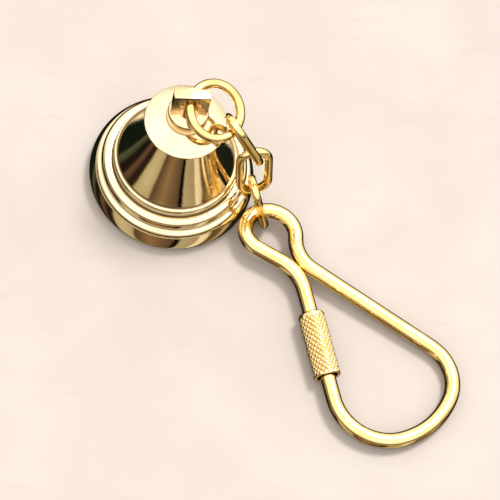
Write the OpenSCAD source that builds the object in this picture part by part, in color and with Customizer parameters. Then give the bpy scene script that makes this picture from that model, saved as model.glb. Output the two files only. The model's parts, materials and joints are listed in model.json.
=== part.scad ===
// A small brass bell on a key chain. The bell stands on its mouth, and the chain and the key loop lie beside it.
// Millimetres, +Z up. The origin is on the bell's axis, in the plane of its mouth.

/* [Bell] */
// Widest diameter of the lip
mouth_d = 25; // [20:0.5:32]
// Height from the mouth to the crown's rim
bell_h = 18.2; // [15:0.1:24]
// Diameter of the crown's rim
crown_d = 12.3; // [11:0.1:15]
// Rise of the crown's middle above its rim
crown_dome = 1.9; // [1:0.1:2.4]
// Depth of the ceiling below the crown's rim
crown_t = 0.9; // [0.6:0.1:1.6]
// Wall of the waist
waist_wall = 1.2; // [0.9:0.1:1.8]
// Thickness of the lip
lip_t = 2.2; // [1.8:0.1:2.8]
// Height of the lip, up to the first groove
lip_h = 4.3; // [3.6:0.1:5.4]

/* [Crown lug] */
// Diameter of the lug's round foot
foot_d = 6; // [5.6:0.1:7.2]
// Height of the foot above its seat
foot_h = 1.9; // [1:0.1:3]
// Height of the lug above its seat
lug_h = 7.2; // [6.8:0.1:9]
// Width of the tongue
tongue_w = 5.5; // [4.6:0.1:5.6]
// Thickness of the tongue
tongue_t = 1.6; // [1.3:0.1:2]
// Play of the jump ring in the lug's hole
lug_hole_play = 0.75; // [0.7:0.05:1]
// Diameter of the shank
shank_d = 2.4; // [2:0.1:3]
// Width of the nut across its flats
nut_w = 4.5; // [4:0.1:5.5]
// Thickness of the nut
nut_h = 1.6; // [1.2:0.1:2.4]

/* [Clapper] */
// Diameter of the ball
ball_d = 5; // [4:0.1:6]
// Height of the ball's centre above the mouth
ball_up = 4.2; // [3:0.1:6]
// Diameter of the rod
rod_d = 1.1; // [0.9:0.1:1.6]
// Wire of the clapper's ring and of the rod's eye
hang_wire = 0.8; // [0.6:0.05:1]

/* [Jump ring and chain] */
// Outer diameter of the jump ring
ring_d = 9.5; // [8.6:0.1:12]
// Wire of the jump ring
ring_wire = 1.4; // [1:0.05:1.5]
// Outer width of a chain link
link_w = 5.6; // [5.2:0.1:7]
// Wire of a chain link
link_wire = 1.3; // [1:0.05:1.6]

/* [Key loop and sleeve] */
// Wire of the key loop
loop_wire = 2.3; // [1.8:0.05:2.8]
// Middle radius of the bow
bow_r = 12.2; // [9:0.1:15]
// Length of the sleeve
sleeve_l = 10.3; // [8:0.1:13]
// Outer diameter of the sleeve
sleeve_d = 4; // [3.9:0.1:6]
// Width of the gap in the wire, inside the sleeve
wire_gap = 1.7; // [1:0.1:3]

/* [Hidden] */
$fn = 96;

// Steps above the lip: how far in from the mouth's edge and how far above the lip each groove is
groove_in = [1.55, 2.8];
groove_up = [0.1, 1.8];
step_round = [1.15, 0.65];
step_top_in = 3.65;
step_top_up = 3.1;
lip_mid = 1.3;
lip_flare = 1.25;
groove_depth = [0.25, 0.2];
waist_hollow = 0.55;
crown_edge = 0.3;
neck_in = 0.35;
mouth_r = mouth_d / 2;
crown_r = crown_d / 2;

// Lug
cap_r = (crown_r * crown_r + crown_dome * crown_dome) / (2 * crown_dome);
function cap_z(r) = bell_h + crown_dome - cap_r + sqrt(cap_r * cap_r - r * r);
seat_z = cap_z(foot_d / 2);
foot_cone_h = 0.6;
tongue_root_d = 3.6;
hole_rim = 0.25;
lug_hole_d = ring_wire + lug_hole_play;
lug_hole_under_top = 2.35;
hole_z = seat_z + lug_h - lug_hole_under_top;
ceiling_z = bell_h - crown_t;
shank_fit = 0.05;
hanger_t = 1;
hanger_w = 2.1;
hanger_hole_d = hang_wire + 0.35;
hanger_below_nut = 1.5;
hanger_end = 0.9;
hang_z = ceiling_z - nut_h - hanger_below_nut;

// Clapper
hang_ring_r = 1.7;
rod_eye_r = 1.3;
wire_touch = 0.06;
hang_low_z = hang_z - 2 * hang_ring_r;
rod_eye_z = hang_low_z + hang_wire + wire_touch - rod_eye_r;
rod_seat = 0.02;

// Jump ring at rest: it droops to the right of the lug and leans forward
ring_r = (ring_d - ring_wire) / 2;
ring_droop = 21.5;
ring_lean = 16.9;
ring_turn = -9;
hook_turn = -15.4;

// Chain at rest: how the first two links stray from the straight way down, and the way each link faces
link_stray = [[0.21, -0.05, 0.14], [-0.19, 0.03, -0.06]];
link_face = [[-0.82, -0.5, -0.32], [0.12, -0.98, 0.2], [-0.95, -0.2, -0.25]];
slack_share = [0.1821, 0.1366, 0.0683, 0.0683];
hook_slack = [for (share = slack_share) share * pow(link_wire, 3)];
eye_out = 2.25;
eye_way = -26.8;

// Key loop: [length, 0] is a straight and [radius, angle] a bend, to the left when the angle is positive
entry_l = 2.1;
tail_l = 3.5;
bow_bends = [[8, 95], [bow_r, 48], [6.7, 81]];
neck_bend = [5.4, -61.6];
eye_bends = [[3.9, 40.4], [4.1, 82.7], [1 + loop_wire, 123.3]];
eye_side = 4;
short_neck_r = 7;
hook_heading = 275;
loop_heading = -78.2;
seam_over = 0.02;
seam_l = 0.2;
bore_fit = 0.05;
mouth_fit = 0.4;
round_share = 0.875;
sleeve_round = round_share * ((sleeve_d - loop_wire) / 2 - bore_fit);
floor_clear = 0.02;

function deg_steps(from, to, n) = [for (i = [0:n]) from + (to - from) * i / n];
function arc(x, y, rx, ry, from, to, n = 10) =
    [for (a = deg_steps(from, to, n)) [x + rx * cos(a), y + ry * sin(a)]];
function unit(v) = v / norm(v);

// Outer and inner outline of the waist, from its foot up to the crown
function waist(t) = let (foot = [mouth_r - step_top_in, lip_h + step_top_up],
                         top = [crown_r - neck_in, bell_h - crown_edge])
    foot + (top - foot) * t - [4 * waist_hollow * t * (1 - t), 0];

module bell_cup() {
    outer = concat(
        arc(mouth_r - lip_mid, lip_mid, lip_mid, lip_mid, -90, 0, 12),
        [for (i = [1:8]) [mouth_r - lip_flare * pow(i / 8, 1.3), lip_mid + (lip_h - lip_mid) * i / 8]],
        [[mouth_r - groove_in[0] - groove_depth[0], lip_h + groove_up[0]]],
        arc(mouth_r - groove_in[0] - step_round[0] + 0.1, lip_h + groove_up[1] - step_round[0],
            step_round[0], step_round[0], -22, 85),
        [[mouth_r - groove_in[1] - groove_depth[1], lip_h + groove_up[1] - 0.1]],
        arc(mouth_r - step_top_in, lip_h + step_top_up - step_round[1],
            step_round[1], step_round[1], -50, 80, 8),
        [for (i = [0:16]) waist(i / 16)],
        [[crown_r, bell_h - crown_edge / 2]],
        [for (i = [0:10]) let (r = crown_r - 0.08 - (crown_r - 0.08 - foot_d / 2) * i / 10)
            [r, cap_z(r)]]);
    inner = concat(
        [[shank_d / 2 + shank_fit, seat_z], [shank_d / 2 + shank_fit, ceiling_z]],
        [[crown_r - neck_in - waist_wall - 0.3, ceiling_z]],
        [for (i = [14:-1:0]) waist(i / 16) - [waist_wall, 0]],
        [[mouth_r - lip_t - 0.5, lip_h - 1], [mouth_r - lip_t, 0]]);
    color("goldenrod") rotate_extrude() polygon(concat(outer, inner));
}

module crown_lug() {
    tongue_z = seat_z + foot_h;
    color("darkgoldenrod") difference() {
        union() {
            translate([0, 0, seat_z]) cylinder(d = foot_d, h = foot_h);
            translate([0, 0, tongue_z]) cylinder(d1 = foot_d, d2 = tongue_root_d, h = foot_cone_h);
            intersection() {
                translate([0, 0, tongue_z]) cylinder(d = tongue_w, h = lug_h - foot_h);
                translate([-tongue_w / 2, -tongue_t / 2, tongue_z])
                    cube([tongue_w, tongue_t, lug_h - foot_h]);
            }
            translate([0, 0, hang_z]) cylinder(d = shank_d, h = seat_z - hang_z + foot_h / 2);
            intersection() {
                translate([0, 0, hang_z - hanger_end]) cylinder(d = shank_d, h = hanger_end + foot_h);
                translate([-hanger_w / 2, -hanger_t / 2, hang_z - hanger_end])
                    cube([hanger_w, hanger_t, hanger_end + foot_h]);
            }
        }
        translate([0, 0, hole_z]) rotate([90, 0, 0]) {
            cylinder(d = lug_hole_d, h = foot_d, center = true);
            for (side = [0, 180]) rotate([0, side, 0]) translate([0, 0, tongue_t / 2 - hole_rim])
                cylinder(d1 = lug_hole_d, d2 = lug_hole_d + 4 * hole_rim, h = 2 * hole_rim);
        }
        translate([0, 0, hang_z]) rotate([90, 0, 0]) cylinder(d = hanger_hole_d, h = foot_d, center = true);
        for (side = [0, 180]) rotate([0, 0, side])
            translate([-shank_d, hanger_t / 2, hang_z - hanger_end])
                cube([2 * shank_d, shank_d, hanger_end + hanger_below_nut - 0.3]);
    }
}

module crown_nut() {
    color("gold") translate([0, 0, ceiling_z - nut_h]) difference() {
        cylinder(d = nut_w / cos(30), h = nut_h, $fn = 6);
        translate([0, 0, -1]) cylinder(d = shank_d + 2 * shank_fit, h = nut_h + 2);
    }
}

module wire_ring(r, wire) {
    rotate_extrude() translate([r, 0]) circle(d = wire, $fn = 48);
}

module clapper_ring() {
    color("peru") translate([0, 0, hang_z - hang_ring_r]) rotate([0, 90, 0]) wire_ring(hang_ring_r, hang_wire);
}

module clapper_rod() {
    color("sienna") {
        translate([0, 0, rod_eye_z]) rotate([90, 0, 0]) wire_ring(rod_eye_r, hang_wire);
        translate([0, 0, ball_up]) cylinder(d = rod_d, h = rod_eye_z - rod_eye_r - ball_up);
    }
}

module clapper_ball() {
    color("khaki") translate([0, 0, ball_up]) difference() {
        sphere(d = ball_d);
        cylinder(d = rod_d + 2 * rod_seat, h = ball_d);
    }
}

// The jump ring's own frame: its centre is the origin and it lies flat
module at_ring() {
    translate([0, 0, hole_z]) rotate([0, ring_droop, 0]) rotate([ring_lean, 0, ring_turn])
        translate([ring_r, 0, 0]) children();
}

module jump_ring() {
    color("gold") at_ring() wire_ring(ring_r, ring_wire);
}

function rot_z(v, a) = [v.x * cos(a) - v.y * sin(a), v.x * sin(a) + v.y * cos(a), v.z];
function rot_x(v, a) = [v.x, v.y * cos(a) - v.z * sin(a), v.y * sin(a) + v.z * cos(a)];
function rot_y(v, a) = [v.x * cos(a) + v.z * sin(a), v.y, v.z * cos(a) - v.x * sin(a)];
function from_ring(v) = rot_y(rot_x(rot_z(v, ring_turn), ring_lean), ring_droop);

// Where the first link hooks the ring
hook = [0, 0, hole_z] + from_ring([ring_r + ring_r * cos(hook_turn), ring_r * sin(hook_turn), 0]);

// The eye's wire rests on the last link, clear of the lip, and the last link rests on the floor
eye = [(mouth_r + eye_out) * cos(eye_way), (mouth_r + eye_out) * sin(eye_way),
       loop_wire / 2 + link_wire + hook_slack[3] + floor_clear];
way_down = unit(eye - hook);
way_0 = unit(way_down + link_stray[0]);
way_1 = unit(way_down + link_stray[1]);

// The centre of each link's upper end wire, for links of a given pitch
function tops(pitch) = let (
    top_0 = hook - ((ring_wire + link_wire) / 2 + hook_slack[0]) * way_0,
    top_1 = top_0 + pitch * way_0 - (link_wire + hook_slack[1]) * unit(way_0 + way_1),
    top_2 = top_1 + pitch * way_1 - (link_wire + hook_slack[2]) * unit(way_1 + way_down))
    [top_0, top_1, top_2];

// The links are as long as the way from the ring down to the eye asks for
function reach(low, high, n) = let (mid = (low + high) / 2)
    n == 0 ? mid : norm(eye - tops(mid)[2]) > mid - (link_wire + loop_wire) / 2 - hook_slack[3]
    ? reach(mid, high, n - 1) : reach(low, mid, n - 1);
link_pitch = reach(2, 30, 40);
link_at = tops(link_pitch);
link_way = [way_0, way_1, unit(eye - link_at[2])];
link_l = link_pitch + link_wire;

// Turns a link's own frame: its length points along its way, and its flat side faces as told
module at_link(i) {
    way = link_way[i];
    heading = atan2(way.y, way.x);
    lean = acos(-way.z);
    face = rot_y(rot_z(link_face[i], -heading), lean);
    translate(link_at[i]) rotate([0, -lean, heading]) rotate([0, 0, atan2(-face.x, face.y)]) children();
}

// A link hangs from the centre of its upper end wire, in the XZ plane
module chain_link(i) {
    bend_r = (link_w - link_wire) / 2;
    straight = link_l - link_w;
    color("gold") at_link(i) translate([0, 0, -bend_r]) rotate([90, 0, 0]) {
        rotate_extrude(angle = 180) translate([bend_r, 0]) circle(d = link_wire, $fn = 48);
        translate([0, -straight, 0]) rotate([0, 0, 180])
            rotate_extrude(angle = 180) translate([bend_r, 0]) circle(d = link_wire, $fn = 48);
        for (side = [-1, 1]) translate([side * bend_r, 0, 0]) rotate([90, 0, 0])
            cylinder(d = link_wire, h = straight, $fn = 48);
    }
}

// Walks along the wire: a pose is [x, y, heading]
function go(pose, move) = let (h = pose[2], s = sign(move[1]), r = move[0], t = h + move[1])
    move[1] == 0 ? [pose.x + r * cos(h), pose.y + r * sin(h), h]
    : [pose.x + s * r * (sin(t) - sin(h)), pose.y - s * r * (cos(t) - cos(h)), t];
function walk(pose, moves, n = 0) = n == len(moves) ? pose : walk(go(pose, moves[n]), moves, n + 1);

// The two legs' lengths follow from the bends: the wire's ends must face each other across the gap
bow_moves = concat([[entry_l + tail_l, 0]], bow_bends);
bow_end = walk([0, 0, 0], bow_moves);
eye_moves = concat([neck_bend], eye_bends, [[eye_side, 0]]);
eye_end = walk([0, 0, bow_end[2]], eye_moves);
short_neck = [short_neck_r, 360 - eye_end[2]];
return_end = walk(eye_end, [short_neck]);
long_leg = -(bow_end.y + return_end.y) / sin(bow_end[2]);
short_leg = -wire_gap - (bow_end.x + long_leg * cos(bow_end[2]) + return_end.x);
loop_moves = concat(bow_moves, [[long_leg, 0]], eye_moves, [short_neck, [short_leg, 0]]);
// The point of the eye that the last link hooks, and the point of the bow that touches the floor
hook_moves = concat(bow_moves, [[long_leg, 0], neck_bend, eye_bends[0]],
    [[eye_bends[1][0], hook_heading - bow_end[2] - neck_bend[1] - eye_bends[0][1]]]);
loop_hook = walk([0, 0, 0], hook_moves);
bow_low = walk([0, 0, 0], [bow_moves[0], bow_bends[0], bow_bends[1], [bow_bends[2][0], 16]]);

// The loop rests on the sleeve, the bow and the last link
function loop_way(x, y, z) = rot_z([x - loop_hook.x, y - loop_hook.y, z - eye.z], loop_heading);
loop_up = unit(cross(loop_way(entry_l, 0, sleeve_d / 2 + floor_clear),
                     loop_way(bow_low.x, bow_low.y, loop_wire / 2 + floor_clear)));

module at_loop() {
    translate(eye) rotate(a = acos(loop_up.z), v = [-loop_up.y, loop_up.x, 0])
        rotate([0, 0, loop_heading]) translate([-loop_hook.x, -loop_hook.y, 0]) children();
}

module wire_run(moves, n = 0) {
    if (n < len(moves)) {
        size = moves[n][0];
        turn = moves[n][1];
        side = sign(turn);
        if (n > 0) rotate([0, 90, 0]) cylinder(d = loop_wire + seam_over, h = seam_l, center = true);
        if (turn == 0) {
            rotate([0, 90, 0]) cylinder(d = loop_wire, h = size, $fn = 48);
            translate([size, 0, 0]) wire_run(moves, n + 1);
        } else translate([0, side * size, 0]) {
            rotate([0, 0, turn > 0 ? -90 : 90 + turn]) rotate_extrude(angle = abs(turn))
                translate([size, 0]) circle(d = loop_wire, $fn = 48);
            rotate([0, 0, turn]) translate([0, -side * size, 0]) wire_run(moves, n + 1);
        }
    }
}

module key_loop() {
    color("gold") at_loop() wire_run(loop_moves);
}

// The sleeve, with its closed end towards the neck
module lock_sleeve() {
    bore_r = loop_wire / 2 + bore_fit;
    mouth_bore_r = loop_wire / 2 + mouth_fit;
    back = entry_l - sleeve_l;
    deep = -wire_gap - 0.2;
    color("khaki") at_loop() rotate([0, 90, 0]) rotate_extrude() polygon(concat(
        [[bore_r, back]],
        arc(sleeve_d / 2 - sleeve_round, back + sleeve_round, sleeve_round, sleeve_round, -90, 0, 6),
        [[sleeve_d / 2, entry_l], [mouth_bore_r, entry_l], [mouth_bore_r, deep], [bore_r, deep]]));
}

bell_cup();
crown_lug();
crown_nut();
clapper_ring();
clapper_rod();
clapper_ball();
jump_ring();
chain_link(0);  // chain_link_1
chain_link(1);  // chain_link_2
chain_link(2);  // chain_link_3
key_loop();
lock_sleeve();
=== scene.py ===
# %% [markdown]
# A brass bell key-chain, piece by piece
#
# The real thing is a small turned brass bell on a short chain, with a key loop of thick brass wire.
# The working model, with its joints, is loaded first and never changes. Every piece is then remade
# here as a finer mesh in the same place, because a working model is only as smooth as it has to be.

# %% Load the working model
import json
import math

import bmesh
import bpy
import numpy as np
from mathutils import Matrix, Vector


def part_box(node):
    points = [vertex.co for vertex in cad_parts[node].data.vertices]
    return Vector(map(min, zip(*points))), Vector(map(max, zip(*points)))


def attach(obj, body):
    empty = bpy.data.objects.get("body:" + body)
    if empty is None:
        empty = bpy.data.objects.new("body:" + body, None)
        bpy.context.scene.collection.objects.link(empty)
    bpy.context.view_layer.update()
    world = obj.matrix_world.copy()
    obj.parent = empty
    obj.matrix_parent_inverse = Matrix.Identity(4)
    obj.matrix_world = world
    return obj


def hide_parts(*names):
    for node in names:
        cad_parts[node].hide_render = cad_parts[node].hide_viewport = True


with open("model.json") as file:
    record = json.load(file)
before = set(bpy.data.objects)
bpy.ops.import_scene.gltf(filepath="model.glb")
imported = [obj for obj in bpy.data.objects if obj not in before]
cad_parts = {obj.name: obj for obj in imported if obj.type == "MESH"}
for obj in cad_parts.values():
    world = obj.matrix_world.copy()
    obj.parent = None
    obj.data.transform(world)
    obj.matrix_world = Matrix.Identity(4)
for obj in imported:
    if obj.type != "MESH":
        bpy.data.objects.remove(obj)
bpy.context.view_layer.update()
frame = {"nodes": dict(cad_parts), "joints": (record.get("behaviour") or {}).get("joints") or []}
MM = 0.001

# %% [markdown]
# Where each piece lies
#
# Nothing is placed by eye. A ring, a link or the loop is flat, so its own three directions follow from
# how its surface is spread: longest along it, least across it. Each triangle counts by its area,
# so the way the working model happens to be cut up makes no difference.


# %% Find a node's centre and directions
def spread(node):
    mesh = frame["nodes"][node].data
    mesh.calc_loop_triangles()
    corners = np.array([[mesh.vertices[v].co for v in t.vertices] for t in mesh.loop_triangles])
    middles = corners.mean(1)
    areas = np.linalg.norm(np.cross(corners[:, 1] - corners[:, 0], corners[:, 2] - corners[:, 0]), axis=1)
    centre = (middles * areas[:, None]).sum(0) / areas.sum()
    off = middles - centre
    _, ways = np.linalg.eigh((off * areas[:, None]).T @ off)
    across, middle, along = (Vector(ways[:, i]) for i in range(3))
    reach = [np.ptp((corners.reshape(-1, 3) - centre) @ np.array(w)) for w in (along, middle, across)]
    return Vector(centre), along, middle, across, reach


def place(centre, x, z):
    """The matrix that takes a piece from its own frame to its place on the object."""
    z = z.normalized()
    x = (x - x.dot(z) * z).normalized()
    return Matrix.Translation(centre) @ Matrix((x, z.cross(x), z)).transposed().to_4x4()


sleeve_way = Vector(next(j["axis"] for j in frame["joints"] if j["name"] == "sleeve_slide"))
loop_up = spread("key_loop")[3]
loop_up = loop_up if loop_up.z > 0 else -loop_up
sleeve_middle = spread("lock_sleeve")[0]
ends = [(v.co - sleeve_middle).dot(sleeve_way) for v in frame["nodes"]["lock_sleeve"].data.vertices]
sleeve_middle += sleeve_way * (min(ends) + max(ends)) / 2
print("the loop's plane leans", round(math.degrees(loop_up.angle(Vector((0, 0, 1)))), 1), "degrees")

# %% [markdown]
# Finishes
#
# Everything is bare brass, but not the same brass. The bell was turned and polished, and is a little
# olive; the chain and the loop are drawn wire, a warmer yellow; the sleeve is knurled, with painted
# shade in its grooves. A metal's look is mostly its reflections, so each finish is a base tone that
# wanders slightly, a roughness that wanders more, and fine marks in the direction in which the tool or the die ran.


# %% Helpers for building a finish
def node(tree, kind, place_at, **values):
    made = tree.nodes.new(kind)
    made.location = place_at
    for name, value in values.items():
        setattr(made, name, value)
    return made


def finish_tree(name):
    made = bpy.data.materials.new(name)
    made.use_nodes = True
    tree = made.node_tree
    shader = tree.nodes["Principled BSDF"]
    shader.inputs["Metallic"].default_value = 1.0
    return made, tree, shader


def noise(tree, at, vector, scale, detail=3.0, rough=0.55):
    made = node(tree, "ShaderNodeTexNoise", at)
    made.inputs["Scale"].default_value = scale
    made.inputs["Detail"].default_value = detail
    made.inputs["Roughness"].default_value = rough
    tree.links.new(vector, made.inputs["Vector"])
    return made.outputs["Fac"]


def ramp(tree, at, factor, stops):
    made = node(tree, "ShaderNodeValToRGB", at)
    band = made.color_ramp
    while len(band.elements) < len(stops):
        band.elements.new(0.5)
    for element, (where, tone) in zip(band.elements, stops):
        element.position = where
        element.color = (*tone, 1.0)
    tree.links.new(factor, made.inputs["Fac"])
    return made.outputs["Color"]


def remap(tree, at, value, low, high, from_low=0.0, from_high=1.0):
    made = node(tree, "ShaderNodeMapRange", at)
    for socket, number in (("From Min", from_low), ("From Max", from_high), ("To Min", low), ("To Max", high)):
        made.inputs[socket].default_value = number
    tree.links.new(value, made.inputs["Value"])
    return made.outputs["Result"]


def maths(tree, at, operation, first, second=None):
    made = node(tree, "ShaderNodeMath", at, operation=operation)
    for socket, value in zip(made.inputs, (first, second)):
        if isinstance(value, (int, float)):
            socket.default_value = value
        elif value is not None:
            tree.links.new(value, socket)
    return made.outputs[0]


def mixed(tree, at, factor, first, second):
    made = node(tree, "ShaderNodeMix", at, data_type="RGBA")
    tree.links.new(factor, made.inputs["Factor"])
    for name, value in (("A", first), ("B", second)):
        socket = next(s for s in made.inputs if s.name == name and s.type == "RGBA")
        if isinstance(value, tuple):
            socket.default_value = (*value, 1.0)
        else:
            tree.links.new(value, socket)
    return next(s for s in made.outputs if s.type == "RGBA")


# %% [markdown]
# Turned brass
#
# A lathe leaves marks that run round the axis, so their height changes with the radius and the height
# on the piece but not with the angle. A noise read at (radius, height) does exactly that. Handling
# wears fine hairlines in any direction over it. The mesh also carries a weight of painted shade that
# darkens the brass in its hollows towards a near-black tone, and the same weight dulls the brass there.


# %% Make the turned finishes
def turned_brass(name, pale, deep, painted_shade_tone, dull):
    made, tree, shader = finish_tree(name)
    where = node(tree, "ShaderNodeTexCoord", (-1500, 0)).outputs["Object"]
    parts = node(tree, "ShaderNodeSeparateXYZ", (-1300, -300))
    tree.links.new(where, parts.inputs[0])
    squares = [maths(tree, (-1120, -250 - 90 * i), "POWER", parts.outputs[i], 2.0) for i in (0, 1)]
    radius = maths(tree, (-780, -280), "SQRT", maths(tree, (-950, -280), "ADD", *squares))
    ring = node(tree, "ShaderNodeCombineXYZ", (-620, -300))
    tree.links.new(radius, ring.inputs[0])
    tree.links.new(parts.outputs[2], ring.inputs[2])
    marks = noise(tree, (-450, -300), ring.outputs[0], 5200, 2.0)
    broad = noise(tree, (-900, 300), where, 160, 4.0)
    cloud = noise(tree, (-900, 80), where, 900, 5.0, 0.65)
    hair = node(tree, "ShaderNodeMapping", (-1120, -520))
    hair.inputs["Rotation"].default_value = (0.4, 0.3, 0.7)
    hair.inputs["Scale"].default_value = (1.0, 14.0, 6.0)
    tree.links.new(where, hair.inputs["Vector"])
    hairs = noise(tree, (-780, -560), hair.outputs[0], 700, 2.0)
    groove = node(tree, "ShaderNodeAttribute", (-900, 520), attribute_name="groove").outputs["Fac"]
    tone = ramp(tree, (-650, 300), broad, [(0.35, deep), (0.62, pale)])
    # Painted shade: the weight darkens the base tone towards the finish's darkest colour.
    tone = mixed(tree, (-300, 300), groove, tone, painted_shade_tone)
    tree.links.new(tone, shader.inputs["Base Color"])
    gloss = remap(tree, (-650, 80), cloud, dull, dull + 0.06, 0.35, 0.7)
    tree.links.new(maths(tree, (-300, 80), "ADD", gloss, maths(tree, (-480, -60), "MULTIPLY", groove, 0.25)),
                   shader.inputs["Roughness"])
    height = maths(tree, (-250, -350), "ADD", marks, maths(tree, (-600, -560), "MULTIPLY", hairs, 0.9))
    wavy = maths(tree, (-420, -460), "MULTIPLY", broad, 9.0)
    height = maths(tree, (-180, -420), "ADD", height, wavy)
    bump = node(tree, "ShaderNodeBump", (-80, -300))
    bump.inputs["Strength"].default_value = 0.4
    bump.inputs["Distance"].default_value = 0.000012
    tree.links.new(height, bump.inputs["Height"])
    tree.links.new(bump.outputs[0], shader.inputs["Normal"])
    return made


# The third colour given to each turned finish is painted shade for its hollows.
bell_brass = turned_brass("bell brass", (0.85, 0.72, 0.48), (0.78, 0.63, 0.38), (0.13, 0.08, 0.035), 0.025)
lug_brass = turned_brass("lug brass", (0.80, 0.62, 0.38), (0.68, 0.49, 0.26), (0.13, 0.08, 0.035), 0.1)
clapper_brass = turned_brass("clapper brass", (0.72, 0.5, 0.24), (0.6, 0.39, 0.16), (0.16, 0.09, 0.03), 0.2)
print("turned finishes:", bell_brass.name, lug_brass.name, clapper_brass.name)

# %% [markdown]
# Drawn wire
#
# Wire is pulled through a die, so its marks run along it. The wire pieces carry two measures on their
# surface: how far along the wire a point is, and where round the wire it is. A noise that is stretched
# along the first gives the die lines, and a slow one on top gives the tone that handling leaves.


# %% Make the wire finish
def drawn_brass(name, pale, deep, dull):
    made, tree, shader = finish_tree(name)
    where = node(tree, "ShaderNodeTexCoord", (-1300, 200)).outputs["Object"]
    round_it = node(tree, "ShaderNodeAttribute", (-1300, -200), attribute_name="round_wire")
    along = node(tree, "ShaderNodeAttribute", (-1300, -420), attribute_name="along_wire")
    parts = node(tree, "ShaderNodeSeparateXYZ", (-1100, -200))
    tree.links.new(round_it.outputs["Vector"], parts.inputs[0])
    lines = node(tree, "ShaderNodeCombineXYZ", (-900, -250))
    tree.links.new(parts.outputs[0], lines.inputs[0])
    tree.links.new(parts.outputs[1], lines.inputs[1])
    tree.links.new(maths(tree, (-1100, -420), "MULTIPLY", along.outputs["Fac"], 0.03), lines.inputs[2])
    die = noise(tree, (-700, -250), lines.outputs[0], 9000, 2.0)
    broad = noise(tree, (-900, 300), where, 260, 4.0)
    cloud = noise(tree, (-900, 60), where, 1500, 4.0, 0.65)
    tree.links.new(ramp(tree, (-550, 300), broad, [(0.36, deep), (0.62, pale)]), shader.inputs["Base Color"])
    tree.links.new(remap(tree, (-550, 60), cloud, dull, dull + 0.13, 0.35, 0.7), shader.inputs["Roughness"])
    pits = maths(tree, (-480, -450), "MULTIPLY", cloud, 0.5)
    bump = node(tree, "ShaderNodeBump", (-200, -250))
    bump.inputs["Strength"].default_value = 0.35
    bump.inputs["Distance"].default_value = 0.00002
    tree.links.new(maths(tree, (-350, -300), "ADD", die, pits), bump.inputs["Height"])
    tree.links.new(bump.outputs[0], shader.inputs["Normal"])
    return made


wire_brass = drawn_brass("wire brass", (0.86, 0.66, 0.31), (0.74, 0.52, 0.2), 0.07)
hanger_brass = drawn_brass("hanger wire brass", (0.72, 0.48, 0.2), (0.6, 0.37, 0.13), 0.2)
print("wire finishes:", wire_brass.name, hanger_brass.name)

# %% [markdown]
# Turned pieces
#
# A turned piece is one outline spun round an axis. The outline is drawn as it would be on a shop
# drawing: straight lines and arcs, with each corner's small radius given, since no real edge is
# perfectly sharp. Rounding the corners in the outline is cleaner than bevelling the mesh afterwards.


# %% Round an outline's corners, and spin it
def eased(corners, per_corner=5):
    """Corners are (across, up, radius). Returns points with an arc at each corner that has a radius."""
    points = []
    for i, (x, y, radius) in enumerate(corners):
        here = Vector((x, y))
        before = Vector(corners[i - 1][:2]) - here
        after = Vector(corners[(i + 1) % len(corners)][:2]) - here
        if radius <= 0 or before.length < 1e-9 or after.length < 1e-9:
            points.append((x, y))
            continue
        half = before.angle(after) / 2
        back = min(radius / math.tan(half), before.length * 0.49, after.length * 0.49)
        start, end = here + before.normalized() * back, here + after.normalized() * back
        for k in range(per_corner + 1):
            t = k / per_corner
            points.append(tuple(start * (1 - t) ** 2 + here * 2 * t * (1 - t) + end * t ** 2))
    return points


def bow(x, y, rx, ry, start, end, count=12):
    turns = [math.radians(start + (end - start) * k / count) for k in range(count + 1)]
    return [(x + rx * math.cos(t), y + ry * math.sin(t), 0) for t in turns]


def spun(name, outline, finish, around=256, weight=None, place_at=None):
    """Spins a closed outline in millimetres about Z. A point on the axis becomes a single pole."""
    turns = np.linspace(0, 2 * math.pi, around, endpoint=False)
    points, rings = [], []
    for r, z in outline:
        first = len(points)
        if r < 1e-6:
            points.append((0, 0, z * MM))
            rings.append([first] * around)
        else:
            points += [(r * MM * math.cos(t), r * MM * math.sin(t), z * MM) for t in turns]
            rings.append([first + k for k in range(around)])
    faces = []
    for low, high in zip(rings, rings[1:] + rings[:1]):
        for k in range(around):
            corner = dict.fromkeys((low[k], low[(k + 1) % around], high[(k + 1) % around], high[k]))
            if len(corner) > 2:
                faces.append(list(corner))
    mesh = bpy.data.meshes.new(name)
    mesh.from_pydata(points, [], faces)
    shape = bmesh.new()
    shape.from_mesh(mesh)
    bmesh.ops.recalc_face_normals(shape, faces=shape.faces)
    if shape.calc_volume(signed=True) < 0:
        bmesh.ops.reverse_faces(shape, faces=shape.faces)
    shape.to_mesh(mesh)
    shape.free()
    # A weight of painted shade for each point, where one is given.
    groove = mesh.attributes.new("groove", "FLOAT", "POINT")
    if weight:
        co = [v.co / MM for v in mesh.vertices]
        groove.data.foreach_set("value", [weight(math.hypot(c.x, c.y), c.z) for c in co])
    return keep(name, mesh, finish, place_at)


def keep(name, mesh, finish, place_at=None, sharp=38):
    """Puts a finished mesh on the object: its place is in the mesh, and its object is at the origin."""
    if place_at is not None:
        mesh.transform(place_at)
    if not mesh.materials:
        mesh.materials.append(finish)
    mesh.shade_smooth()
    mesh.set_sharp_from_angle(angle=math.radians(sharp))
    piece = bpy.data.objects.new(name, mesh)
    bpy.context.scene.collection.objects.link(piece)
    print(name, len(mesh.polygons), "faces")
    return piece


# %% [markdown]
# The bell
#
# One turning: a rounded lip, two beads and a small step cut above it, a waist that is hollow like a
# bell's, and a slightly domed crown with a crisp rim. Inside, the wall is even, and the ceiling is flat
# round the hole for the lug's shank. The outline runs up the outside and back down the inside.

# %% Draw the bell's outline
MOUTH_R, LIP_H, BELL_H, CROWN_R, CROWN_DOME = 12.5, 4.3, 18.2, 6.15, 1.9
SEAT_R, SHANK_R, WALL, LIP_T = 3.0, 1.2, 1.2, 2.2
CAP_R = (CROWN_R ** 2 + CROWN_DOME ** 2) / (2 * CROWN_DOME)


def crown_height(r):
    return BELL_H + CROWN_DOME - CAP_R + math.sqrt(CAP_R ** 2 - r * r)


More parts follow.
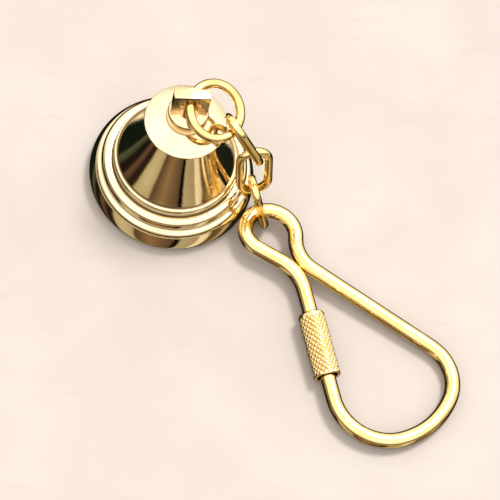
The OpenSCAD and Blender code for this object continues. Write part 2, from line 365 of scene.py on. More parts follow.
def waist(t, inward=0.0):
    foot, top = Vector((MOUTH_R - 3.65, LIP_H + 3.1)), Vector((CROWN_R - 0.35, BELL_H - 0.3))
    here = foot + (top - foot) * t
    return (here.x - 4 * 0.55 * t * (1 - t) - inward, here.y, 0)


lip = bow(MOUTH_R - 1.3, 1.3, 1.3, 1.3, -90, 0, 20)
roll_over = bow(MOUTH_R - 1.687, 1.3, 1.687, 3.106, 5, 75, 22)
first_groove = [(10.7, 4.4, 0.05)]
bead = bow(9.9, 4.95, 1.15, 1.15, -22, 85, 20)
second_groove = [(9.5, 6.0, 0.05)]
step = bow(8.85, 6.75, 0.65, 0.65, -50, 80, 14)
side = [waist(k / 40) for k in range(40)]
rim = [(CROWN_R - 0.35, BELL_H - 0.3, 0.05), (CROWN_R, BELL_H - 0.15, 0.09),
       (CROWN_R - 0.1, crown_height(CROWN_R - 0.1), 0.06)]
crown = [(r, crown_height(r), 0) for r in np.linspace(CROWN_R - 0.35, SEAT_R - 0.3, 24)]
hole = [(SHANK_R + 0.05, crown_height(SEAT_R - 0.3), 0.05), (SHANK_R + 0.05, BELL_H - 0.9, 0.1)]
ceiling = [(CROWN_R - 1.85, BELL_H - 0.9, 0.3)]
inside = [waist(k / 16, WALL) for k in range(14, -1, -1)]
mouth = [(MOUTH_R - LIP_T - 0.5, LIP_H - 1, 0.5), (MOUTH_R - LIP_T, 0, 0.2)]
bell_outline = eased(lip + roll_over + first_groove + bead + second_groove + step + side + rim + crown + hole
                     + ceiling + inside + mouth)
print("outline points:", len(bell_outline))


# Where the bell gets painted shade: its grooves, a thin ring round the lug's seat, and the inside of the wall.
GROOVES = [(10.8, 4.4, 0.28), (9.55, 6.05, 0.26), (8.9, 7.42, 0.1), (SEAT_R + 0.02, crown_height(SEAT_R), 0.02)]
GROOVE_FADE, INSIDE_SHADE, WAIST_FOOT, WAIST_H = 0.12, 0.55, LIP_H + 3.1, 10.5


def in_groove(r, z):
    """How much painted shade: full at a groove's bottom and in a thin ring round the lug's seat, about half on the
    wall's inside.
    """
    near = min(math.hypot(r - groove_r, z - groove_z) - size for groove_r, groove_z, size in GROOVES)
    shade = max(0.0, min(1.0, 1 - near / GROOVE_FADE))
    skin = waist(min(1, max(0, (z - WAIST_FOOT) / WAIST_H)))[0]
    inner = z < BELL_H - 0.8 and r < 11.0 and r < skin - WALL / 2
    return max(shade, INSIDE_SHADE if inner else 0.0)


bell = spun("bell_shell", bell_outline, bell_brass, 320, in_groove)
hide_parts("bell_cup")
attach(bell, "bell")

# %% [markdown]
# The lug
#
# The lug is a turned foot and shank with a flat tongue that the jump ring goes through. The foot is
# spun from an outline, the tongue is the same round bar milled flat on two sides, and the hole is
# drilled and countersunk. Boolean joins are right here because the real part is cut from one bar.

# %% Spin the foot, mill the tongue, drill the holes
seat = crown_height(SEAT_R)
FOOT_H, LUG_H, TONGUE_W, TONGUE_T, HOLE_UP, HANG_Z = 1.9, 7.2, 5.5, 1.6, 4.85, 14.2
hole_z = seat + HOLE_UP


def milled(name, width, thick, low, high, ease, finish):
    """A round bar milled flat on two sides, with its upper and lower edges eased."""
    shape = bmesh.new()
    half = math.degrees(math.asin(thick / width))
    levels = [(low, ease), (low + ease, 0), (high - ease, 0), (high - ease * 0.3, ease * 0.3), (high, ease)]
    rings = []
    for z, inset in levels:
        turns = [math.radians(a) for a in np.linspace(-half, half, 13)]
        r = width / 2
        flat = thick / 2 - inset
        side_a = [(r * math.cos(t) - inset, max(-flat, min(flat, r * math.sin(t)))) for t in turns]
        outline = side_a + [(-x, -y) for x, y in side_a]
        rings.append([shape.verts.new((x * MM, y * MM, z * MM)) for x, y in outline])
    count = len(rings[0])
    for below, above in zip(rings, rings[1:]):
        for k in range(count):
            shape.faces.new((below[k], below[(k + 1) % count], above[(k + 1) % count], above[k]))
    shape.faces.new(list(reversed(rings[0])))
    shape.faces.new(rings[-1])
    mesh = bpy.data.meshes.new(name)
    shape.to_mesh(mesh)
    shape.free()
    return keep(name, mesh, finish)


def cut_or_join(piece, tools):
    for operation, tool in tools:
        change = piece.modifiers.new("join", "BOOLEAN")
        change.operation, change.object, change.solver = operation, tool, "EXACT"
        bpy.context.view_layer.update()
        result = bpy.data.meshes.new_from_object(piece.evaluated_get(bpy.context.evaluated_depsgraph_get()))
        piece.modifiers.clear()
        piece.data = result
        bpy.data.objects.remove(tool)
    piece.data.shade_smooth()
    piece.data.set_sharp_from_angle(angle=math.radians(30))
    return piece


across_y = Matrix.Rotation(math.radians(90), 4, "X")
HOLE_R, SINK_R, SINK_DEEP, HANGER_W, HANGER_T, EYE_R = 1.075, 1.5, 0.42, 2.1, 1.0, 0.575
foot_outline = eased([(0, seat + FOOT_H + 0.62, 0), (1.7, seat + FOOT_H + 0.62, 0.1),
                      (SEAT_R - 0.1, seat + FOOT_H + 0.12, 0.12), (SEAT_R, seat + FOOT_H - 0.1, 0.1),
                      (SEAT_R, seat, 0.08), (SHANK_R, seat, 0), (SHANK_R, HANG_Z + 1.2, 0.1), (0, HANG_Z + 1.2, 0)])
lug = spun("lug_piece", foot_outline, lug_brass, 192)
tongue = milled("tongue", TONGUE_W, TONGUE_T, seat + FOOT_H - 0.5, seat + LUG_H, 0.12, lug_brass)
hanger = milled("hanger", HANGER_W, HANGER_T, HANG_Z - 0.9, HANG_Z + 1.4, 0.08, lug_brass)
drill = spun("drill", [(0, 4), (HOLE_R, 4), (HOLE_R, 0.55), (HOLE_R, -4), (0, -4)], lug_brass, 96,
             place_at=Matrix.Translation((0, 0, hole_z * MM)) @ across_y)
sink = [spun("sink", [(0, -SINK_DEEP), (1.06, -SINK_DEEP), (SINK_R, 0.02), (SINK_R, 0.6), (0, 0.6)], lug_brass, 96,
             place_at=Matrix.Translation((0, s * -(TONGUE_T / 2) * MM, hole_z * MM))
             @ (across_y if s > 0 else across_y.inverted())) for s in (1, -1)]
eye_drill = spun("eye_drill", [(0, 3), (EYE_R, 3), (EYE_R, -3), (0, -3)], lug_brass, 64,
                 place_at=Matrix.Translation((0, 0, HANG_Z * MM)) @ across_y)
lug = cut_or_join(lug, [("UNION", tongue), ("UNION", hanger), ("DIFFERENCE", drill), ("DIFFERENCE", sink[0]),
                        ("DIFFERENCE", sink[1]), ("DIFFERENCE", eye_drill)])
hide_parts("crown_lug")
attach(lug, "bell")
print("lug:", len(lug.data.polygons), "faces")

# %% [markdown]
# The nut
#
# Out of sight under the crown, a hexagon nut holds the lug. A hexagon's corners are turned down on the
# lathe, so its upper and lower corners are cut by a cone. It is built as rings of points round the axis.


# %% Build the nut
def nut(name, flats, bore, low, high, finish, around=96):
    shape = bmesh.new()
    face_r = flats / 2 * 0.97

    def ring(r_of, z_of):
        turns = [2 * math.pi * k / around for k in range(around)]
        return [shape.verts.new((r_of(t) * MM * math.cos(t), r_of(t) * MM * math.sin(t), z_of(t) * MM))
                for t in turns]

    def hexagon(t):
        return flats / 2 / math.cos((t % (math.pi / 3)) - math.pi / 6)

    def chamfer(t):
        return (hexagon(t) - face_r) * math.tan(math.radians(30))

    rings = [ring(lambda t: bore, lambda t: low + 0.1), ring(lambda t: bore + 0.1, lambda t: low),
             ring(lambda t: face_r, lambda t: low), ring(hexagon, lambda t: low + chamfer(t)),
             ring(hexagon, lambda t: high - chamfer(t)), ring(lambda t: face_r, lambda t: high),
             ring(lambda t: bore + 0.1, lambda t: high), ring(lambda t: bore, lambda t: high - 0.1)]
    for a, b in zip(rings, rings[1:] + rings[:1]):
        for k in range(around):
            shape.faces.new((a[k], a[(k + 1) % around], b[(k + 1) % around], b[k]))
    bmesh.ops.recalc_face_normals(shape, faces=shape.faces)
    if shape.calc_volume(signed=True) < 0:
        bmesh.ops.reverse_faces(shape, faces=shape.faces)
    mesh = bpy.data.meshes.new(name)
    shape.to_mesh(mesh)
    shape.free()
    return keep(name, mesh, finish, sharp=20)


nut_low, nut_high = (corner.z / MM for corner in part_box("crown_nut"))
nut_piece = nut("hexagon_nut", 4.5, 1.25, nut_low, nut_high, lug_brass)
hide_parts("crown_nut")
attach(nut_piece, "bell")

# %% [markdown]
# Wire
#
# Rings, links and the key loop are all bent from round wire, so one Geometry Nodes tree makes them all:
# it sweeps a circle along whatever path it is given. It also stores how far along the wire and where
# round it each point is, which the wire finish reads for its die lines. Only the path differs.


# %% Build the wire tree
def wire_tree():
    tree = bpy.data.node_groups.new("wire along a path", "GeometryNodeTree")
    tree.interface.new_socket("Path", in_out="INPUT", socket_type="NodeSocketGeometry")
    for name, kind, value in (("Wire", "NodeSocketFloat", 0.001), ("Sides", "NodeSocketInt", 32)):
        tree.interface.new_socket(name, in_out="INPUT", socket_type=kind).default_value = value
    tree.interface.new_socket("Finish", in_out="INPUT", socket_type="NodeSocketMaterial")
    tree.interface.new_socket("Piece", in_out="OUTPUT", socket_type="NodeSocketGeometry")
    join = tree.links.new
    given = node(tree, "NodeGroupInput", (-900, 0))
    length = node(tree, "GeometryNodeSplineParameter", (-900, 250))
    along = node(tree, "GeometryNodeStoreNamedAttribute", (-600, 150), data_type="FLOAT", domain="POINT")
    along.inputs["Name"].default_value = "along_wire"
    join(given.outputs["Path"], along.inputs["Geometry"])
    join(length.outputs["Length"], along.inputs["Value"])
    circle = node(tree, "GeometryNodeCurvePrimitiveCircle", (-700, -150))
    half = node(tree, "ShaderNodeMath", (-880, -200), operation="MULTIPLY")
    half.inputs[1].default_value = 0.5
    join(given.outputs["Wire"], half.inputs[0])
    join(half.outputs[0], circle.inputs["Radius"])
    join(given.outputs["Sides"], circle.inputs["Resolution"])
    where = node(tree, "GeometryNodeInputPosition", (-700, -350))
    round_it = node(tree, "GeometryNodeStoreNamedAttribute", (-450, -150), data_type="FLOAT_VECTOR", domain="POINT")
    round_it.inputs["Name"].default_value = "round_wire"
    join(circle.outputs["Curve"], round_it.inputs["Geometry"])
    join(where.outputs[0], round_it.inputs["Value"])
    sweep = node(tree, "GeometryNodeCurveToMesh", (-200, 50))
    sweep.inputs["Fill Caps"].default_value = True
    join(along.outputs["Geometry"], sweep.inputs["Curve"])
    join(round_it.outputs["Geometry"], sweep.inputs["Profile Curve"])
    real = node(tree, "GeometryNodeRealizeInstances", (0, 50))
    join(sweep.outputs["Mesh"], real.inputs["Geometry"])
    paint = node(tree, "GeometryNodeSetMaterial", (200, 50))
    join(real.outputs["Geometry"], paint.inputs["Geometry"])
    join(given.outputs["Finish"], paint.inputs["Material"])
    out = node(tree, "NodeGroupOutput", (400, 50))
    join(paint.outputs["Geometry"], out.inputs["Piece"])
    return tree


WIRE = wire_tree()


def run_tree(piece, tree, values):
    """Runs a Geometry Nodes tree on an object with these inputs, and returns the plain mesh it makes."""
    change = piece.modifiers.new(tree.name, "NODES")
    change.node_group = tree
    sockets = {s.name: s.identifier for s in tree.interface.items_tree if s.in_out == "INPUT"}
    for name, value in values.items():
        change[sockets[name]] = value
    bpy.context.view_layer.update()
    made = bpy.data.meshes.new_from_object(piece.evaluated_get(bpy.context.evaluated_depsgraph_get()))
    bpy.data.objects.remove(piece)
    return made


def wire_piece(name, path, wire, finish, closed=True, sides=32, place_at=None):
    curve = bpy.data.curves.new(name + "_path", "CURVE")
    curve.dimensions = "3D"
    spline = curve.splines.new("POLY")
    spline.points.add(len(path) - 1)
    for point, at in zip(spline.points, path):
        point.co = (*(c * MM for c in at), 1.0)
    spline.use_cyclic_u = closed
    carrier = bpy.data.objects.new(name + "_path", curve)
    bpy.context.scene.collection.objects.link(carrier)
    mesh = run_tree(carrier, WIRE, {"Wire": wire * MM, "Sides": sides, "Finish": finish})
    shape = bmesh.new()
    shape.from_mesh(mesh)
    bmesh.ops.remove_doubles(shape, verts=shape.verts, dist=1e-8)
    bmesh.ops.recalc_face_normals(shape, faces=shape.faces)
    if shape.calc_volume(signed=True) < 0:
        bmesh.ops.reverse_faces(shape, faces=shape.faces)
    shape.to_mesh(mesh)
    shape.free()
    return keep(name, mesh, finish, place_at)


def circle_path(radius, count=128):
    return [(radius * math.cos(2 * math.pi * k / count), radius * math.sin(2 * math.pi * k / count), 0)
            for k in range(count)]


# %% [markdown]
# The jump ring
#
# The ring that joins the lug to the chain is a plain circle of wire. Its radius and wire are measured
# from the working model, so it follows if the model's sizes change.

# %% Make the jump ring
centre, along, _, across, reach = spread("jump_ring")
ring_wire = reach[2] / MM
ring = wire_piece("jump_ring_wire", circle_path((reach[0] / MM - ring_wire) / 2), ring_wire, wire_brass, sides=40,
                  place_at=place(centre, along, across))
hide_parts("jump_ring")
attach(ring, "jump_ring")

# %% [markdown]
# The chain
#
# Each of the three links is the same bent wire: two straight sides and two half circles. The path is
# drawn once for a link's length and width, and the same tree sweeps it three times, once in each place.


# %% Make the three links
def link_path(length, width, count=32):
    half, r = (length - width) / 2, width / 2
    turns = [math.pi * k / count for k in range(count + 1)]
    one = [(half + r * math.sin(t), r * math.cos(t), 0) for t in turns]
    straight = [(half * (1 - k / 6), -r, 0) for k in range(1, 12)]
    return one + straight + [(-x, -y, 0) for x, y, _ in one + straight]


for number in (1, 2, 3):
    source = f"chain_link_{number}"
    centre, along, _, across, reach = spread(source)
    link_wire = reach[2] / MM
    link = wire_piece(f"link_wire_{number}", link_path(reach[0] / MM - link_wire, reach[1] / MM - link_wire),
                      link_wire, wire_brass, place_at=place(centre, along, across))
    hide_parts(source)
    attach(link, f"link_{number}")

# %% [markdown]
# The key loop
#
# The loop is one length of thicker wire, bent flat: a wide bow for the keys, a neck where the two legs
# touch, and an eye that the last link hooks. A wire bender would list it as straights and bends, and the
# path is written in the same way: a length with no turn, or a bend's radius and its angle.

# %% Walk the key loop's bends
LOOP_WIRE, ENTRY, TAIL, GAP = 2.3, 2.1, 3.5, 1.7
bow_moves = [(ENTRY + TAIL, 0), (8.0, 95.0), (12.2, 48.0), (6.7, 81.0)]
eye_moves = [(5.4, -61.6), (3.9, 40.4), (4.1, 82.7), (1.0 + LOOP_WIRE, 123.3), (4.0, 0)]


def walk(moves, heading=0.0, step=0.35):
    """Follows straights (length, 0) and bends (radius, degrees), and returns its points and last heading."""
    at, points = Vector((0, 0)), []
    for size, turn in moves:
        if turn == 0:
            count = max(1, math.ceil(size / step / 3))
            way = Vector((math.cos(heading), math.sin(heading)))
            points += [at + way * size * (k + 1) / count for k in range(count)]
        else:
            bend, sign = math.radians(turn), math.copysign(1, turn)
            count = max(6, math.ceil(abs(bend) * size / step))
            hub = at + sign * size * Vector((-math.sin(heading), math.cos(heading)))
            for k in range(count):
                t = heading + bend * (k + 1) / count
                points.append(hub + sign * size * Vector((math.sin(t), -math.cos(t))))
            heading += bend
        at = points[-1]
    return points, heading


bow_points, bow_heading = walk(bow_moves)
eye_points, eye_heading = walk(eye_moves, bow_heading)
last_bend = (7.0, 360 - math.degrees(eye_heading))
neck_points, _ = walk([last_bend], eye_heading)
long_leg = -(bow_points[-1].y + eye_points[-1].y + neck_points[-1].y) / math.sin(bow_heading)
short_leg = -GAP - (bow_points[-1].x + long_leg * math.cos(bow_heading) + eye_points[-1].x + neck_points[-1].x)
loop_points, _ = walk(bow_moves + [(long_leg, 0)] + eye_moves + [last_bend, (short_leg, 0)])
loop_x = -sleeve_way
loop_start = sleeve_middle - loop_x * (ENTRY - 10.3 / 2) * MM
loop_place = place(loop_start, loop_x, loop_up)
key_loop = wire_piece("key_loop_wire", [(0, 0, 0)] + [(p.x, p.y, 0) for p in loop_points], LOOP_WIRE, wire_brass,
                      closed=False, sides=48, place_at=loop_place)
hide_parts("key_loop")
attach(key_loop, "key_loop")
print("long leg", round(long_leg, 2), "mm; short leg", round(short_leg, 2), "mm")

# %% [markdown]
# The knurled sleeve
#
# A short tube slides over the gap in the loop's wire. A knurling tool rolls two sets of slanting
# V-grooves into it, one each way round, which leaves diamonds. The tube is spun with a fine mesh
# along its grip, and a Geometry Nodes tree sinks each point by how near it is to either groove.


# %% Build the knurl tree
def knurl_tree():
    tree = bpy.data.node_groups.new("diamond knurl", "GeometryNodeTree")
    tree.interface.new_socket("Tube", in_out="INPUT", socket_type="NodeSocketGeometry")
    for name, value in (("Grooves", 18.0), ("Lead", 0.002), ("Depth", 0.0002), ("Grip start", -0.004),
                        ("Grip end", 0.004), ("Tube radius", 0.002)):
        tree.interface.new_socket(name, in_out="INPUT", socket_type="NodeSocketFloat").default_value = value
    tree.interface.new_socket("Finish", in_out="INPUT", socket_type="NodeSocketMaterial")
    tree.interface.new_socket("Piece", in_out="OUTPUT", socket_type="NodeSocketGeometry")
    steepness, skin_share = 3.6, 0.97
    join = tree.links.new
    given = node(tree, "NodeGroupInput", (-1600, 0))
    where = node(tree, "GeometryNodeInputPosition", (-1600, -300))
    parts = node(tree, "ShaderNodeSeparateXYZ", (-1400, -300))
    join(where.outputs[0], parts.inputs[0])
    turn = maths(tree, (-1200, -250), "ARCTAN2", parts.outputs[1], parts.outputs[0])
    rounds = maths(tree, (-1000, -250), "MULTIPLY", maths(tree, (-1100, -250), "DIVIDE", turn, 2 * math.pi),
                   given.outputs["Grooves"])
    climb = maths(tree, (-1200, -450), "DIVIDE", parts.outputs[2], given.outputs["Lead"])

    def ridge(phase, y):
        wave = maths(tree, (-640, y), "PINGPONG", phase, 0.5)
        return maths(tree, (-480, y), "SUBTRACT", 1.0, maths(tree, (-560, y), "MULTIPLY", wave, steepness))

    one = ridge(maths(tree, (-800, -200), "ADD", rounds, climb), -200)
    two = ridge(maths(tree, (-800, -420), "SUBTRACT", rounds, climb), -420)
    deepest = maths(tree, (-200, -300), "MAXIMUM", maths(tree, (-320, -300), "MAXIMUM", one, two), 0.0)
    inside_grip = maths(tree, (-200, -600), "MULTIPLY",
                        maths(tree, (-320, -560), "GREATER_THAN", parts.outputs[2], given.outputs["Grip start"]),
                        maths(tree, (-320, -680), "LESS_THAN", parts.outputs[2], given.outputs["Grip end"]))
    flat = node(tree, "ShaderNodeCombineXYZ", (-1200, -760))
    join(parts.outputs[0], flat.inputs[0])
    join(parts.outputs[1], flat.inputs[1])
    far = node(tree, "ShaderNodeVectorMath", (-1000, -760), operation="LENGTH")
    join(flat.outputs[0], far.inputs[0])
    near_skin = maths(tree, (-600, -760), "GREATER_THAN", far.outputs["Value"],
                      maths(tree, (-800, -820), "MULTIPLY", given.outputs["Tube radius"], skin_share))
    amount = maths(tree, (0, -400), "MULTIPLY",
                   maths(tree, (-80, -400), "MULTIPLY", deepest, inside_grip), near_skin)
    inward = node(tree, "ShaderNodeVectorMath", (-600, -960), operation="NORMALIZE")
    join(flat.outputs[0], inward.inputs[0])
    shift = node(tree, "ShaderNodeVectorMath", (200, -500), operation="SCALE")
    join(inward.outputs[0], shift.inputs[0])
    sunk = maths(tree, (40, -500), "MULTIPLY", amount, given.outputs["Depth"])
    join(maths(tree, (100, -400), "MULTIPLY", sunk, -1.0), shift.inputs["Scale"])
    move = node(tree, "GeometryNodeSetPosition", (400, 0))
    join(shift.outputs[0], move.inputs["Offset"])
    # Each point's depth is also stored as its weight of painted shade, which darkens the knurl's grooves.
    weight = node(tree, "GeometryNodeStoreNamedAttribute", (200, 0), data_type="FLOAT", domain="POINT")
    weight.inputs["Name"].default_value = "groove"
    join(given.outputs["Tube"], weight.inputs["Geometry"])
    join(amount, weight.inputs["Value"])
    join(weight.outputs["Geometry"], move.inputs["Geometry"])
    real = node(tree, "GeometryNodeRealizeInstances", (600, 0))
    join(move.outputs["Geometry"], real.inputs["Geometry"])
    paint = node(tree, "GeometryNodeSetMaterial", (800, 0))
    join(real.outputs["Geometry"], paint.inputs["Geometry"])
    join(given.outputs["Finish"], paint.inputs["Material"])
    out = node(tree, "NodeGroupOutput", (1000, 0))
    join(paint.outputs["Geometry"], out.inputs["Piece"])
    return tree


# %% Turn and knurl the sleeve
SLEEVE_R, SLEEVE_L, BORE_R, MOUTH_BORE_R = 2.0, 10.3, 1.2, 1.55
back, front = -SLEEVE_L / 2, SLEEVE_L / 2
grip = [(SLEEVE_R, z, 0) for z in np.linspace(back + 1.0, front - 0.35, 260)]
deep = front - ENTRY - GAP - 0.2
sleeve_outline = eased([(BORE_R, back, 0.05)] + bow(SLEEVE_R - 0.7, back + 0.7, 0.7, 0.7, -90, 0, 10) + grip
                       + [(SLEEVE_R, front, 0.12), (MOUTH_BORE_R, front, 0.08), (MOUTH_BORE_R, deep, 0),
                          (BORE_R, deep, 0.04)])
# Its third colour is the painted shade in the knurl's grooves.
sleeve_brass = turned_brass("knurled brass", (0.90, 0.72, 0.40), (0.82, 0.62, 0.30), (0.52, 0.34, 0.13), 0.12)
plain_tube = spun("plain_tube", sleeve_outline, sleeve_brass, 288)
along_x = Matrix(((0, 0, 1), (1, 0, 0), (0, 1, 0))).to_4x4()
knurled = run_tree(plain_tube, knurl_tree(), {
    "Grooves": 15.0, "Lead": 0.00095, "Depth": 0.00019, "Grip start": (back + 0.95) * MM,
    "Grip end": (front - 0.3) * MM, "Tube radius": SLEEVE_R * MM, "Finish": sleeve_brass})
sleeve = keep("knurled_sleeve", knurled, sleeve_brass, place(sleeve_middle, loop_x, loop_up) @ along_x)
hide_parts("lock_sleeve")
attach(sleeve, "sleeve")

# %% [markdown]
# The clapper
#
# Out of sight in the mouth, a small wire ring hangs from the lug's shank, and the clapper's rod hooks
# it. The rod's eye is the same bent wire, and the ball is turned with a blind hole for the rod. The rod
# and its eye are one piece of wire, so they are joined into one closed mesh.

# %% Make the clapper
centre, along, _, across, reach = spread("clapper_ring")
hang_wire = reach[2] / MM
hanger_ring = wire_piece("clapper_ring_wire", circle_path((reach[0] / MM - hang_wire) / 2, 64), hang_wire,
                         hanger_brass, sides=24, place_at=place(centre, along, across))
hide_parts("clapper_ring")
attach(hanger_ring, "clapper_ring")

rod_low, rod_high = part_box("clapper_rod")
eye_r = (rod_high.x - rod_low.x) / MM / 2 - hang_wire / 2
eye_z = rod_high.z / MM - hang_wire / 2 - eye_r
rod = wire_piece("clapper_rod_wire", circle_path(eye_r, 64), hang_wire, hanger_brass, sides=24,
                 place_at=Matrix.Translation((0, 0, eye_z * MM)) @ across_y)
STEM_R, BALL_HOLE_R = 0.55, 0.57
stem = spun("stem", eased([(0, rod_low.z / MM, 0), (STEM_R, rod_low.z / MM, 0.08), (STEM_R, eye_z - eye_r, 0.1),
                           (0, eye_z - eye_r, 0)]), hanger_brass, 48)
rod = cut_or_join(rod, [("UNION", stem)])
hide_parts("clapper_rod")
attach(rod, "clapper")

ball_low, ball_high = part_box("clapper_ball")
ball_r = (ball_high.x - ball_low.x) / MM / 2
ball_z = ball_low.z / MM + ball_r
hole_turn = math.degrees(math.acos(BALL_HOLE_R / ball_r))
ball_outline = [(0, ball_z), (BALL_HOLE_R, ball_z)] + [
    (ball_r * math.cos(math.radians(a)), ball_z + ball_r * math.sin(math.radians(a)))
    for a in np.linspace(hole_turn, -89.9, 60)] + [(0, ball_z - ball_r)]
ball = spun("clapper_ball_piece", ball_outline, clapper_brass, 96)
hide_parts("clapper_ball")
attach(ball, "clapper")

# %% [markdown]
# Floor
#
# The floor is a sheet of pale, slightly warm paper. It takes the soft shadow. It isn't mirrored in the
# brass: the studio's lower half is, which stands for everything round and under a polished bell.


# %% Lay the floor
def paper():
    made = bpy.data.materials.new("pale paper")
    made.use_nodes = True
    tree = made.node_tree
    shader = tree.nodes["Principled BSDF"]
    where = node(tree, "ShaderNodeTexCoord", (-1000, 0)).outputs["Object"]
    cloud = noise(tree, (-700, 200), where, 55, 4.0)
    fibre = node(tree, "ShaderNodeMapping", (-850, -150))
    fibre.inputs["Rotation"].default_value = (0, 0, 0.6)
    fibre.inputs["Scale"].default_value = (1.0, 6.0, 1.0)
    tree.links.new(where, fibre.inputs["Vector"])
    threads = noise(tree, (-650, -150), fibre.outputs[0], 90, 3.0)
    tone = ramp(tree, (-400, 200), cloud, [(0.4, (0.365, 0.318, 0.288)), (0.62, (0.38, 0.337, 0.308))])
    thin = remap(tree, (-400, -150), threads, 0.0, 0.25, 0.62, 0.72)
    tree.links.new(mixed(tree, (-150, 100), thin, tone, (0.36, 0.27, 0.225)), shader.inputs["Base Color"])
    shader.inputs["Roughness"].default_value = 0.85
    shader.inputs["Specular IOR Level"].default_value = 0.15
    return made


floor_mesh = bpy.data.meshes.new("paper_floor")
floor_mesh.from_pydata([(x, y, 0.0) for x, y in ((-1, -1), (1, -1), (1, 1), (-1, 1))], [], [(0, 1, 2, 3)])
floor_mesh.materials.append(paper())
floor = bpy.data.objects.new("paper_floor", floor_mesh)
bpy.context.scene.collection.objects.link(floor)
floor.visible_glossy = False

# %% [markdown]
# Light
#
# Polished brass shows the room. Above is a bright white softbox sky, with a dark line low in it on the
# camera's side. Below the horizon the room is broken into upright bands, warm and dark in turn, so the
# waist of the bell gets the tall reflections that real polished brass has. This is a dressed room and not
# a plain one: in even light, polished brass would look much smoother. A broad sun from behind, to the
# right, casts the soft shadow.

# %% Build the studio
VIEW_TURN, VIEW_RISE, VIEW_ROLL, VIEW_ANGLE = -19.5, 63.5, 19.0, 10.0

room = bpy.data.worlds.new("studio")
bpy.context.scene.world = room
room.use_nodes = True
tree = room.node_tree
backdrop = tree.nodes["Background"]
looking = node(tree, "ShaderNodeTexCoord", (-1500, 0)).outputs["Generated"]
turned = node(tree, "ShaderNodeMapping", (-1300, 0))
turned.inputs["Rotation"].default_value = (0, 0, math.radians(90 - VIEW_TURN))
tree.links.new(looking, turned.inputs["Vector"])
wheel = node(tree, "ShaderNodeTexGradient", (-1100, 0), gradient_type="RADIAL")
tree.links.new(turned.outputs[0], wheel.inputs["Vector"])
around_room = ramp(tree, (-850, 0), wheel.outputs["Fac"], [
    (0.00, (0.05, 0.03, 0.02)), (0.10, (0.006, 0.010, 0.006)), (0.225, (0.008, 0.013, 0.008)),
    (0.235, (0.10, 0.11, 0.07)), (0.26, (0.05, 0.05, 0.03)), (0.27, (0.012, 0.010, 0.006)),
    (0.30, (0.02, 0.013, 0.01)), (0.31, (0.15, 0.08, 0.055)), (0.33, (0.10, 0.055, 0.04)),
    (0.34, (0.02, 0.014, 0.01)), (0.365, (0.035, 0.02, 0.014)),
    (0.375, (0.55, 0.48, 0.30)), (0.405, (0.62, 0.55, 0.36)), (0.44, (0.52, 0.45, 0.28)),
    (0.452, (0.10, 0.065, 0.034)), (0.50, (0.30, 0.19, 0.10)), (0.53, (0.20, 0.13, 0.07)),
    (0.565, (0.12, 0.08, 0.045)), (0.573, (0.004, 0.003, 0.002)), (0.584, (0.004, 0.003, 0.002)),
    (0.592, (0.50, 0.42, 0.27)), (0.64, (0.42, 0.34, 0.21)),
    (0.65, (1.0, 0.90, 0.70)), (0.672, (0.9, 0.78, 0.55)), (0.685, (0.12, 0.07, 0.035)),
    (0.72, (0.20, 0.12, 0.06)), (0.73, (0.55, 0.42, 0.24)), (0.75, (0.40, 0.28, 0.14)),
    (0.765, (0.02, 0.02, 0.012)), (0.93, (0.008, 0.012, 0.008)), (1.00, (0.05, 0.03, 0.02))])
height = node(tree, "ShaderNodeSeparateXYZ", (-1100, 300))
tree.links.new(looking, height.inputs[0])
sky = ramp(tree, (-850, 300), remap(tree, (-980, 300), height.outputs[2], 0.0, 1.0, -0.2, 1.0), [
    (0.00, (0.30, 0.24, 0.15)), (0.07, (0.62, 0.54, 0.40)), (0.15, (0.66, 0.58, 0.44)),
    (0.185, (0.03, 0.018, 0.010)), (0.30, (0.05, 0.032, 0.018)), (0.345, (0.40, 0.34, 0.25)),
    (0.48, (0.62, 0.58, 0.50)), (0.56, (0.96, 0.95, 0.92)), (1.0, (1.0, 1.0, 0.985))])
far_sky = ramp(tree, (-850, 600), remap(tree, (-980, 600), height.outputs[2], 0.0, 1.0, -0.2, 1.0), [
    (0.00, (0.30, 0.24, 0.15)), (0.10, (0.86, 0.82, 0.72)), (0.30, (0.93, 0.91, 0.86)), (1.0, (1.0, 1.0, 0.985))])
facing = node(tree, "ShaderNodeSeparateXYZ", (-1100, 800))
tree.links.new(turned.outputs[0], facing.inputs[0])
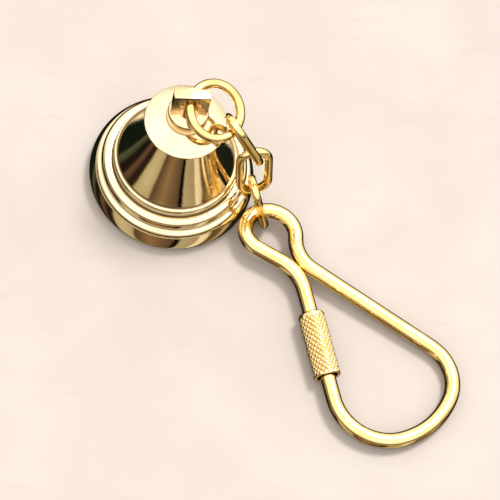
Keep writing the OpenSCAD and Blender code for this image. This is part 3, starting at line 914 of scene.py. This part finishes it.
near = remap(tree, (-850, 850), facing.outputs[0], 0.0, 1.0, -0.45, 0.0)
sky = mixed(tree, (-600, 650), near, far_sky, sky)
upper = remap(tree, (-600, 450), height.outputs[2], 0.0, 1.0, -0.20, -0.14)
tree.links.new(mixed(tree, (-350, 200), upper, around_room, sky), backdrop.inputs["Color"])
tree.links.new(remap(tree, (-350, 450), height.outputs[2], 1.1, 1.9, -0.1, 0.5), backdrop.inputs["Strength"])

sun_data = bpy.data.lights.new("broad sun", "SUN")
sun_data.energy = 3.2
sun_data.angle = math.radians(16)
sun_data.color = (1.0, 0.985, 0.96)
sun = bpy.data.objects.new("broad sun", sun_data)
sun_from = Vector((0.683, 0.730, 0.0)) * math.sin(math.radians(28)) + Vector((0, 0, math.cos(math.radians(28))))
sun.rotation_euler = sun_from.to_track_quat("Z", "Y").to_euler()
bpy.context.scene.collection.objects.link(sun)
bpy.context.scene.view_settings.view_transform = "Standard"

# %% [markdown]
# Camera
#
# A long lens looks down on the bell from high up in front, turned a little to the side and rolled.
# The direction is given by three angles, and the distance and the point in the middle of the view in mm.

# %% Set the camera
turn, rise, roll = (math.radians(a) for a in (VIEW_TURN, VIEW_RISE, VIEW_ROLL))
behind = Vector((math.sin(turn) * math.cos(rise), -math.cos(turn) * math.cos(rise), math.sin(rise)))
level = Vector((math.cos(turn), math.sin(turn), 0))
upright = behind.cross(level)
right = math.cos(roll) * level + math.sin(roll) * upright
up = -math.sin(roll) * level + math.cos(roll) * upright
MIDDLE_RIGHT, MIDDLE_UP, FAR = 12.07, -11.06, 434.1
camera_data = bpy.data.cameras.new("camera")
camera_data.sensor_fit = "HORIZONTAL"
camera_data.angle = math.radians(VIEW_ANGLE)
camera_data.clip_start, camera_data.clip_end = 0.01, 10
camera = bpy.data.objects.new("camera", camera_data)
camera.matrix_world = (Matrix.Translation((right * MIDDLE_RIGHT + up * MIDDLE_UP + behind * FAR) * MM)
                       @ Matrix((right, up, behind)).transposed().to_4x4())
bpy.context.scene.collection.objects.link(camera)
bpy.context.scene.camera = camera
